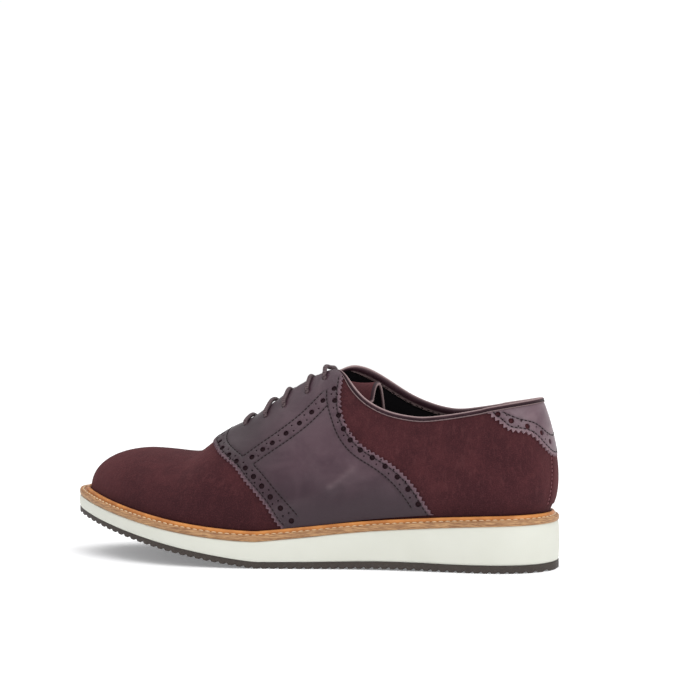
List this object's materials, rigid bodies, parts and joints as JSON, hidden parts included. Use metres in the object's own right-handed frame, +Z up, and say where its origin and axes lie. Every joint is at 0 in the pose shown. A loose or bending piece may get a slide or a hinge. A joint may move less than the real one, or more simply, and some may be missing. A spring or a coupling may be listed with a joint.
{
  "type": "saddle shoe",
  "caption": "Laced low shoe for the left foot, with a suede upper, a leather saddle, a welt and a thick wedge sole.",
  "frame": {"origin": "middle of the sole's box, on the plane that the shoe stands on", "axes": "+X from heel to toe, +Y to the outer side of the foot, +Z up"},
  "size_m": [0.3001, 0.1068, 0.1179],
  "materials": {
    "burgundy_suede": "napped suede",
    "plum_leather": "smooth, softly polished",
    "tan_leather": "satin",
    "white_foam": "matte",
    "dark_rubber": "matte",
    "insole_leather": "satin",
    "lace_cord": "waxed cord"
  },
  "bodies": {
    "root": {"outsole": "dark_rubber", "midsole": "white_foam", "welt": "tan_leather", "insole": "insole_leather", "upper": "burgundy_suede", "tongue": "burgundy_suede", "saddle": "plum_leather", "heel_tab": "plum_leather", "back_strip": "burgundy_suede", "collar_binding": "plum_leather", "lace_bar_1": "lace_cord", "lace_bar_2": "lace_cord", "lace_bar_3": "lace_cord", "lace_bar_4": "lace_cord", "lace_bar_5": "lace_cord"}
  },
  "joints": []
}
